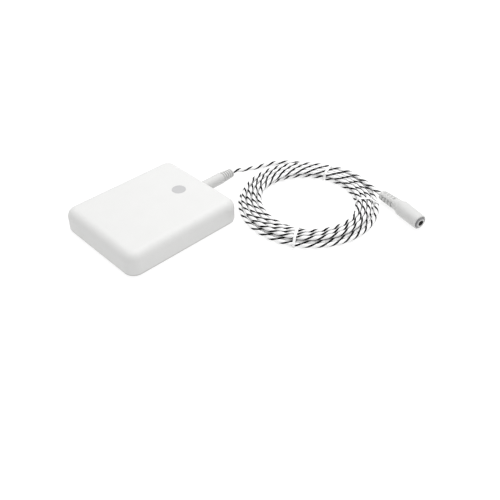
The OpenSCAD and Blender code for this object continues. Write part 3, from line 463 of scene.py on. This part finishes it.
@dataclass
class SensingCord:
    """The white cord with two black wires wound round it, from the plug's strain relief to the socket.

    A point of a lead is given by its x and y from the exit, and by the share of the lead's change of height
    that is still to come there.
    """

    coil: Coil = field(default_factory=Coil)
    diameter_mm: float = 2.5
    exit_mm: tuple[float, float, float] = (64.0, 0.0, 7.6)
    socket_mm: tuple[float, float, float] = (117.5, -80.8, 4.8)
    socket_heading: float = -98.4
    lead_in_mm: tuple[tuple[float, float, float], ...] = (
        (8.5, -0.4, 0.75), (13.0, -0.8, 0.53), (17.5, -1.2, 0.34), (22.0, -1.65, 0.19), (26.7, -2.25, 0.08),
        (31.2, -3.3, 0.02), (35.0, -4.8, 0.0), (38.4, -6.9, 0.0), (42.5, -11.0, 0.0), (46.5, -16.0, 0.0),
        (49.9, -21.8, 0.0),
    )
    lead_out_mm: tuple[tuple[float, float, float], ...] = (
        (56.9, -43.1, 1.0), (58.5, -49.4, 1.0), (58.7, -55.9, 1.0), (57.7, -62.3, 1.0), (56.2, -68.5, 0.5),
        (54.7, -74.2, 0.0),
    )
    coil_lay_mm: float = 14.4
    plug_lay_mm: float = 20.5
    lay_change_mm: tuple[float, float] = (15.0, 55.0)
    stagger: float = 0.38
    wire_stand_mm: float = 0.07
    columns: int = 24
    wire_columns: int = 4
    wires: int = 2
    rings_per_turn: int = 24
    curve_points: int = 33
    turn_weld_mm: float = 0.01

    def knots(self) -> list[Vector]:
        """Gives the route's points from the plug to the socket, in millimetres."""
        coil, out = self.coil, Vector(self.exit_mm)
        straight = self.diameter_mm * coil.way
        first, last = coil.point(0.0) - straight, coil.point(coil.loops) + straight
        drop, socket = out.z - coil.low_z, Vector(self.socket_mm)
        heading = math.radians(self.socket_heading)
        socket_way = Vector((math.cos(heading), math.sin(heading), 0.0))
        rise = last.z - socket.z
        lead_in = [
            Vector((out.x + x, out.y + y, coil.low_z + share * drop)) for x, y, share in self.lead_in_mm
        ]
        lead_out = [
            Vector((out.x + x, out.y + y, socket.z + share * rise)) for x, y, share in self.lead_out_mm
        ]
        return [
            out, out + Vector((self.diameter_mm, 0.0, 0.0)), *lead_in, first - straight, first, *coil.knots(),
            last, last + straight, *lead_out, socket - self.diameter_mm * socket_way, socket,
        ]

    def lay(self, along: float, coil_leg: int) -> float:
        """Gives the length of one turn of the wires.

        A turn is longer near the plug than in the coil. In each of the coil's loops the count of stripes is a
        whole number and a set share, so that the stripes of loops side by side don't line up.

        Args:
            along: distance from the plug, in metres.
            coil_leg: the leg between two knots, counted from where the coil starts.

        Returns:
            The length of a turn there, in metres.
        """
        coil = self.coil
        if 0 <= coil_leg < coil.loops * coil.knots_per_loop:
            middle = coil.point(coil_leg // coil.knots_per_loop + 0.5)
            round_mm = 2 * math.pi * math.hypot(middle.x - coil.centre[0], middle.y - coil.centre[1])
            stripes = round(self.wires * round_mm / self.coil_lay_mm - self.stagger) + self.stagger
            return self.wires * round_mm / stripes * MM
        near, far = self.lay_change_mm
        share = min(1.0, max(0.0, (along / MM - near) / (far - near)))
        return (self.plug_lay_mm + share * (self.coil_lay_mm - self.plug_lay_mm)) * MM

    def centreline(self) -> list[Vector]:
        """Runs one smooth curve through the knots, and sets the cord's rings along it by the wires' turns.

        Returns:
            The rings' middles in metres: a whole number of turns, each of the same number of rings.
        """
        knots = [k * MM for k in self.knots()]
        sides = [(knots[max(i - 1, 0)], knots[min(i + 1, len(knots) - 1)]) for i in range(len(knots))]
        ways = [(after - before).normalized() for before, after in sides]
        # two knots of the exit's straight lie before the lead, and two of the coil's straight after it
        coil_start = 2 + len(self.lead_in_mm) + 2
        along, fine, turns = 0.0, [knots[0]], [0.0]
        for leg, (a, b, way_a, way_b) in enumerate(zip(knots, knots[1:], ways, ways[1:], strict=False)):
            reach = (b - a).length / 3
            curve = interpolate_bezier(a, a + way_a * reach, b - way_b * reach, b, self.curve_points)
            for point in curve[1:]:
                step = (point - fine[-1]).length
                turns.append(turns[-1] + step / self.lay(along, leg - coil_start))
                fine.append(point)
                along += step
        count = round(turns[-1]) * self.rings_per_turn
        line, at = [fine[0]], 0
        for i in range(1, count):
            goal = turns[-1] * i / count
            while turns[at + 1] < goal:
                at += 1
            line.append(fine[at].lerp(fine[at + 1], (goal - turns[at]) / (turns[at + 1] - turns[at])))
        return [*line, fine[-1]]

    def straight_cord(self, turns: int) -> bmesh.types.BMesh:
        """Twists the cord's round section into one turn along Z, and repeats the turn.

        Args:
            turns: how many turns of the wires the cord has.

        Returns:
            A straight open tube with its rings 1 m apart and its wires' faces on the second material index.
        """
        column = 2 * math.pi / self.columns
        per_wire = self.columns // self.wires
        turn = bmesh.new()
        ring = bmesh.ops.create_circle(turn, segments=self.columns, radius=self.diameter_mm / 2 * MM)["verts"]
        for vert in ring:
            place = round(math.atan2(vert.co.y, vert.co.x) / column) % per_wire
            if 0 < place < self.wire_columns:
                vert.co *= 1 + 2 * self.wire_stand_mm / self.diameter_mm
        bmesh.ops.spin(
            turn, geom=[*ring, *turn.edges], cent=(0, 0, 0), axis=(0, 0, 1), dvec=(0, 0, 1),
            angle=-2 * math.pi, steps=self.rings_per_turn, use_merge=False, use_normal_flip=False,
            use_duplicate=False,
        )
        for face in turn.faces:
            middle = face.calc_center_median()
            angle = math.atan2(middle.y, middle.x) + 2 * math.pi * middle.z / self.rings_per_turn
            face.material_index = int(angle / column % self.columns % per_wire < self.wire_columns)
            face.smooth = True
        mesh = bpy.data.meshes.new("cord_turn")
        turn.to_mesh(mesh)
        turn.free()
        holder = bpy.data.objects.new("cord_turn", mesh)
        bpy.context.scene.collection.objects.link(holder)
        repeat = holder.modifiers.new("turns", "ARRAY")
        repeat.count = turns
        repeat.use_relative_offset = False
        repeat.use_constant_offset = True
        repeat.constant_offset_displace = (0, 0, self.rings_per_turn)
        repeat.use_merge_vertices = True
        repeat.merge_threshold = self.turn_weld_mm * MM
        whole = bpy.data.meshes.new_from_object(holder.evaluated_get(bpy.context.evaluated_depsgraph_get()))
        bm = bmesh.new()
        bm.from_mesh(whole)
        bpy.data.objects.remove(holder)
        for used in (mesh, whole):
            bpy.data.meshes.remove(used)
        return bm

    def build(self) -> tuple[bpy.types.Object, list[Vector]]:
        """Makes the cord along its route.

        Returns:
            The cord's object, and the points that it follows.
        """
        line = self.centreline()
        bm = self.straight_cord((len(line) - 1) // self.rings_per_turn)
        frames = []
        for i, here in enumerate(line):
            way = (line[min(i + 1, len(line) - 1)] - line[max(i - 1, 0)]).normalized()
            side = Vector((0, 0, 1)).cross(way).normalized()
            frames.append((here, side, way.cross(side)))
        for vert in bm.verts:
            here, side, up = frames[round(vert.co.z)]
            vert.co = here + vert.co.x * side + vert.co.y * up
        bmesh.ops.holes_fill(bm, edges=[e for e in bm.edges if e.is_boundary], sides=0)
        bmesh.ops.recalc_face_normals(bm, faces=bm.faces)
        piece = new_piece("sensing_cord", bm, (JACKET_PVC, WIRE_CARBON), "sensing_lead")
        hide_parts("lead_in", "cord_coil", "lead_out")
        return piece, line


@dataclass
class CoilTies:
    """Three ties of thin film, each drawn tight round the loops that it holds."""

    coil: Coil
    cord_mm: float
    angles: tuple[float, ...] = (20.0, -46.0, -148.0)
    width_mm: float = 1.6
    thickness_mm: float = 0.22
    gap_mm: float = 0.1
    tail_angle: float = -148.0
    tail_mm: float = 3.2
    tail_rise_mm: float = 0.9
    tail_lift_mm: float = 0.25
    tail_overlap_mm: float = 0.3
    tail_width_share: float = 0.8
    tail_segments: int = 8
    peg_segments: int = 32
    end_reach: float = 0.03

    def held(self, angle: float) -> list[tuple[float, float]]:
        """Gives the loops under a tie, with the cord's end where it leaves the coil within reach of it.

        Args:
            angle: the tie's angle round the coil.

        Returns:
            The radius and the height of each loop there, in millimetres.
        """
        first = (self.coil.start_angle - angle) / 360 % 1
        count = math.floor(self.coil.loops - first + self.end_reach) + 1
        points = [self.coil.point(first + k) for k in range(count)]
        return [(math.hypot(p.x - self.coil.centre[0], p.y - self.coil.centre[1]), p.z) for p in points]

    def band(self, bm: bmesh.types.BMesh, angle: float) -> None:
        """Adds one tie: a hull over round pegs in place of the loops, opened at its sides.

        One of the ties has a short loose end.

        Args:
            bm: the mesh to add to.
            angle: the tie's angle round the coil.
        """
        peg = self.cord_mm / 2 + self.gap_mm
        tie = bmesh.new()
        upright = Matrix.Rotation(math.pi / 2, 4, "X")
        for radius, height in self.held(angle):
            for side in (-0.5, 0.5):
                place = Matrix.Translation((radius, side * self.width_mm, height)) @ upright
                bmesh.ops.create_circle(tie, segments=self.peg_segments, radius=peg, matrix=place)
        bmesh.ops.delete(tie, geom=tie.edges[:], context="EDGES_FACES")
        hidden = bmesh.ops.convex_hull(tie, input=tie.verts)["geom_interior"]
        bmesh.ops.delete(tie, geom=[v for v in hidden if isinstance(v, bmesh.types.BMVert)], context="VERTS")
        tie.normal_update()
        bmesh.ops.delete(tie, geom=[f for f in tie.faces if abs(f.normal.y) > 0.5], context="FACES")
        outer = max(v.co.x for v in tie.verts)
        if angle == self.tail_angle:
            strip = bmesh.ops.create_grid(tie, x_segments=self.tail_segments, y_segments=1, size=0.5)
            for vert in strip["verts"]:
                share = vert.co.x + 0.5
                vert.co = Vector((
                    outer - self.tail_overlap_mm + share * self.tail_mm,
                    vert.co.y * self.width_mm * self.tail_width_share,
                    self.thickness_mm + self.tail_lift_mm + self.tail_rise_mm * share * share,
                ))
        bmesh.ops.recalc_face_normals(tie, faces=tie.faces)
        bmesh.ops.solidify(tie, geom=tie.faces[:], thickness=-self.thickness_mm)
        spot = Matrix.Translation((*self.coil.centre, 0.0)) @ Matrix.Rotation(math.radians(angle), 4, "Z")
        bmesh.ops.transform(tie, matrix=Matrix.Scale(MM, 4) @ spot, verts=tie.verts)
        for face in tie.faces:
            face.smooth = True
        part = bpy.data.meshes.new("tie")
        tie.to_mesh(part)
        tie.free()
        bm.from_mesh(part)
        bpy.data.meshes.remove(part)

    def build(self) -> bpy.types.Object:
        """Makes the three ties as one piece, as the solids are."""
        bm = bmesh.new()
        for angle in self.angles:
            self.band(bm, angle)
        piece = new_piece("tie_films", bm, (TIE_FILM,), "sensing_lead", even=True)
        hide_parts("coil_ties")
        return piece


@dataclass
class PlugGrip:
    """The plug's moulded grip: a plain cylinder, and five ribs that let it bend where the cord leaves.

    root_mm gives the depth and the width of the seat for the pin's root in its front.
    """

    start_mm: tuple[float, float, float] = (40.2, 0.0, 7.6)
    diameter_mm: float = 7.2
    length_mm: float = 15.4
    edge_mm: float = 0.6
    relief_mm: float = 8.4
    first_rib_mm: float = 6.7
    last_rib_mm: float = 5.7
    ribs: int = 5
    groove_mm: float = 0.75
    groove_share: float = 0.4
    root_mm: tuple[float, float] = (5.05, 5.2)
    root_play_mm: float = 0.02
    rounding_mm: float = 0.14

    def build(self) -> bpy.types.Object:
        """Turns the grip, with the seat of the pin's root in its front."""
        seat, root = self.root_mm[0], self.root_mm[1] / 2 + self.root_play_mm
        radius, edge, pitch = self.diameter_mm / 2, self.edge_mm, self.relief_mm / self.ribs
        outline = [
            (seat, 0.0), (seat, root), (0.0, root), (0.0, radius - edge), (edge, radius),
            (self.length_mm - edge, radius), (self.length_mm, radius - edge),
        ]
        for i in range(self.ribs):
            rib = (self.first_rib_mm + (self.last_rib_mm - self.first_rib_mm) * i / (self.ribs - 1)) / 2
            at, floor = self.length_mm + i * pitch, rib - self.groove_mm
            wall = at + self.groove_share * pitch
            outline += [(at, floor), (wall, floor), (wall, rib), (at + pitch, rib)]
        outline.append((self.length_mm + self.relief_mm, 0.0))
        bm = turned(outline, self.rounding_mm)
        bmesh.ops.translate(bm, vec=Vector(self.start_mm) * MM, verts=bm.verts)
        piece = new_piece("plug_moulding", bm, (GRIP_PVC,), "sensing_lead", even=True)
        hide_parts("plug_grip")
        return piece


@dataclass
class SocketGrip:
    """The inline socket's moulded grip: a relief with slots on four sides, which flares into a taper.

    The relief bends aside with the cord. insert_mm gives the depth and the width of the insert's seat.
    """

    start_mm: tuple[float, float, float] = (117.5, -80.8, 4.8)
    heading: float = -104.4
    relief_bend: float = 6.0
    relief_mm: float = 14.0
    flare_mm: float = 4.0
    length_mm: float = 34.0
    small_mm: float = 6.2
    big_mm: float = 7.4
    diameter_mm: float = 9.6
    mouth_mm: float = 9.0
    end_mm: float = 0.5
    end_share: float = 0.3
    edge_mm: float = 0.5
    flare_rings: int = 8
    rim_rings: int = 3
    insert_mm: tuple[float, float] = (15.2, 6.55)
    slots: int = 4
    first_slot_mm: float = 2.9
    slot_pitch_mm: float = 2.6
    slot_mm: float = 1.1
    slot_angle: float = 56.0
    core_mm: float = 3.2
    skin_mm: float = 0.3
    near_mm: float = 0.2
    steps: int = 64

    def outline(self) -> list[tuple[float, float]]:
        """Gives the outline, with a corner at each side of each slot."""
        small, big = self.small_mm / 2, self.big_mm / 2
        radius, mouth = self.diameter_mm / 2, self.mouth_mm / 2
        middles = [self.first_slot_mm + i * self.slot_pitch_mm for i in range(self.slots)]
        cuts = [at + side * self.slot_mm / 2 for at in middles for side in (-1, 1)]
        # the relief's end is rounded, and the flare starts along the relief and ends along the grip
        full, part = self.end_mm, self.end_share * self.end_mm
        end = [(0.0, small - full), (part, small - part), (full, small)]
        shares = [t / self.flare_rings for t in range(self.flare_rings + 1)]
        sweep = [(share, (1 - math.cos(math.pi * share)) / 2) for share in shares]
        turns = [t * math.pi / (2 * self.rim_rings) for t in range(self.rim_rings + 1)]
        rim = [(math.sin(turn), math.cos(turn)) for turn in turns]
        edge, depth, bore = self.edge_mm, self.insert_mm[0], self.insert_mm[1] / 2
        return [
            (0.0, 0.0), *end, *((at, small + (big - small) * at / self.relief_mm) for at in cuts),
            *((self.relief_mm + s * self.flare_mm, big + h * (radius - big)) for s, h in sweep),
            *((self.length_mm - edge + edge * s, mouth - edge + edge * h) for s, h in rim),
            (self.length_mm, bore), (self.length_mm - depth, bore), (self.length_mm - depth, 0.0),
        ]

    def sink_slots(self, bm: bmesh.types.BMesh) -> None:
        """Sinks the slots to the relief's core.

        Args:
            bm: the turned grip.
        """
        half = math.radians(self.slot_angle) / 2
        for i in range(self.slots):
            at = self.first_slot_mm + i * self.slot_pitch_mm
            for toward in (0.0, 0.5 * math.pi, math.pi, 1.5 * math.pi):
                floor = []
                for face in bm.faces:
                    middle = face.calc_center_median()
                    off = (math.atan2(middle.y, middle.z) - toward + math.pi) % (2 * math.pi) - math.pi
                    outside = math.hypot(middle.y, middle.z) / MM > self.small_mm / 2 - self.skin_mm
                    if outside and abs(off) < half and abs(middle.x / MM - at) < self.near_mm:
                        floor.append(face)
                sunk = bmesh.ops.extrude_face_region(bm, geom=floor)["geom"]
                bmesh.ops.delete(bm, geom=floor, context="FACES")
                for vert in (g for g in sunk if isinstance(g, bmesh.types.BMVert)):
                    vert.co.yz = vert.co.yz * (self.core_mm / 2 * MM / math.hypot(vert.co.y, vert.co.z))
                # the slots' floors take the second finish, a mid grey painted as shade in the slots
                for face in (g for g in sunk if isinstance(g, bmesh.types.BMFace)):
                    face.material_index = 1

    def build(self) -> bpy.types.Object:
        """Turns the grip, sinks its slots, bends the relief aside and lays the grip on the floor."""
        bm = turned(self.outline(), 0.0, self.steps)
        self.sink_slots(bm)
        bmesh.ops.recalc_face_normals(bm, faces=bm.faces)
        # the relief turns about the flare's start, and its own start then lies at the cord's end
        bend = Matrix.Rotation(math.radians(self.relief_bend), 3, "Z")
        flare = Vector((self.relief_mm * MM, 0.0, 0.0))
        relief = [v for v in bm.verts if v.co.x < flare.x - WELD_MM * MM]
        bmesh.ops.rotate(bm, cent=flare, matrix=bend, verts=relief)
        start = flare + bend @ -flare
        place = Matrix.Rotation(math.radians(self.heading), 4, "Z") @ Matrix.Translation(-start)
        bmesh.ops.transform(bm, matrix=Matrix.Translation(Vector(self.start_mm) * MM) @ place, verts=bm.verts)
        # the second finish is painted shade on the slots' floors
        piece = new_piece("socket_moulding", bm, (GRIP_PVC, SLOT_SHADE_PVC), "sensing_lead", even=True)
        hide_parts("socket_grip")
        return piece


@dataclass
class SensingLead:
    """The whole lead: its cord, the coil's ties, the plug's grip and the inline socket's grip."""

    cord: SensingCord = field(default_factory=SensingCord)
    plug: PlugGrip = field(default_factory=PlugGrip)
    socket: SocketGrip = field(default_factory=SocketGrip)
    loose_nodes: tuple[str, ...] = (
        "plug_sleeve", "plug_insulator", "plug_tip", "socket_insert", "socket_bush", "socket_spring")
    path_step: int = 4

    def build(self) -> None:
        piece, line = self.cord.build()
        ties = CoilTies(self.cord.coil, self.cord.diameter_mm).build()
        self.plug.build()
        self.socket.build()


@dataclass
class Studio:
    """The pale floor, the white wall, the soft light and the camera at the photograph's angle."""

    camera_at: tuple[float, float, float] = (-0.1860, -0.2756, 0.2477)
    camera_way: tuple[float, float, float] = (0.5383, 0.5557, -0.6336)
    lens_mm: float = 49.065
    sensor_mm: float = 36.0
    clip_near: float = 0.01
    floor_half: float = 20.0
    floor_glow: float = 0.77
    floor_drop: float = 0.0001
    wall_radius: float = 2.5
    wall_segments: int = 48
    stage_roughness: float = 0.9
    stage_specular: float = 0.1
    sky_strength: float = 0.55
    softbox_side: float = 1.1
    softbox_at: tuple[float, float, float] = (0.33, 0.05, 0.82)
    softbox_watts: float = 8.5

    def build(self) -> None:
        """Makes the floor, the wall, the lights and the camera."""
        scene = bpy.context.scene
        scene.view_settings.view_transform = "Standard"
        self.floor(scene)
        self.wall(scene)
        self.lights(scene)
        camera = bpy.data.objects.new("camera", bpy.data.cameras.new("camera"))
        camera.data.sensor_width = self.sensor_mm
        camera.data.sensor_fit = "HORIZONTAL"
        camera.data.lens = self.lens_mm
        camera.data.clip_start = self.clip_near
        camera.location = self.camera_at
        camera.rotation_euler = Vector(self.camera_way).to_track_quat("-Z", "Y").to_euler()
        scene.collection.objects.link(camera)
        scene.camera = camera

    def stage_piece(
        self, scene: bpy.types.Scene, name: str, bm: bmesh.types.BMesh,
        material: str, colour: str, glow: float,
    ) -> bpy.types.Object:
        """Links a piece of the stage, which glows white.

        Args:
            scene: the scene to link it to.
            name: name of the piece.
            bm: its shape, in metres, which is freed.
            material: name of its material.
            colour: its colour in the room's light.
            glow: strength of its own white light.

        Returns:
            The piece.
        """
        mesh = bpy.data.meshes.new(name)
        bm.to_mesh(mesh)
        bm.free()
        made = bpy.data.materials.new(material)
        made.use_nodes = True
        shader = made.node_tree.nodes["Principled BSDF"]
        shader.inputs["Base Color"].default_value = linear(colour)
        shader.inputs["Roughness"].default_value = self.stage_roughness
        shader.inputs["Specular IOR Level"].default_value = self.stage_specular
        shader.inputs["Emission Color"].default_value = (1.0, 1.0, 1.0, 1.0)
        shader.inputs["Emission Strength"].default_value = glow
        mesh.materials.append(made)
        piece = bpy.data.objects.new(name, mesh)
        scene.collection.objects.link(piece)
        return piece

    def floor(self, scene: bpy.types.Scene) -> None:
        """Makes the plain floor that the object lies on.

        Args:
            scene: the scene to link it to.
        """
        bm = bmesh.new()
        below = Matrix.Translation((0.0, 0.0, -self.floor_drop))
        bmesh.ops.create_grid(bm, x_segments=1, y_segments=1, size=self.floor_half, matrix=below)
        # a white acrylic light table, lit from below, so that shadows on it stay faint
        self.stage_piece(scene, "floor", bm, "white_acrylic_light_table", "#959595", self.floor_glow)

    def wall(self, scene: bpy.types.Scene) -> None:
        """Makes the round white wall that low views look at. It lights nothing.

        Args:
            scene: the scene to link it to.
        """
        bm = bmesh.new()
        radius = self.wall_radius
        bmesh.ops.create_cone(
            bm, segments=self.wall_segments, radius1=radius, radius2=radius, depth=2 * radius)
        wall = self.stage_piece(scene, "wall", bm, "white_painted_wall", "#ffffff", 1.0)
        wall.visible_diffuse = wall.visible_glossy = wall.visible_transmission = wall.visible_shadow = False

    def lights(self, scene: bpy.types.Scene) -> None:
        """Makes the even sky and the softbox overhead.

        Args:
            scene: the scene to link them to.
        """
        world = bpy.data.worlds.new("white_room")
        scene.world = world
        world.use_nodes = True
        sky = world.node_tree.nodes["Background"]
        sky.inputs["Color"].default_value = (1.0, 1.0, 1.0, 1.0)
        sky.inputs["Strength"].default_value = self.sky_strength
        softbox = bpy.data.objects.new("softbox", bpy.data.lights.new("softbox", "AREA"))
        softbox.data.shape = "SQUARE"
        softbox.data.size = self.softbox_side
        softbox.data.energy = self.softbox_watts
        softbox.location = self.softbox_at
        scene.collection.objects.link(softbox)


def main() -> None:
    """Builds the scene's classes in order."""
    logging.basicConfig(level=logging.INFO, format="%(name)s: %(message)s")
    Studio().build()
    SensingLead().build()
    for group in SOLID_GROUPS:
        group.dress()


if __name__ == "__main__":
    main()
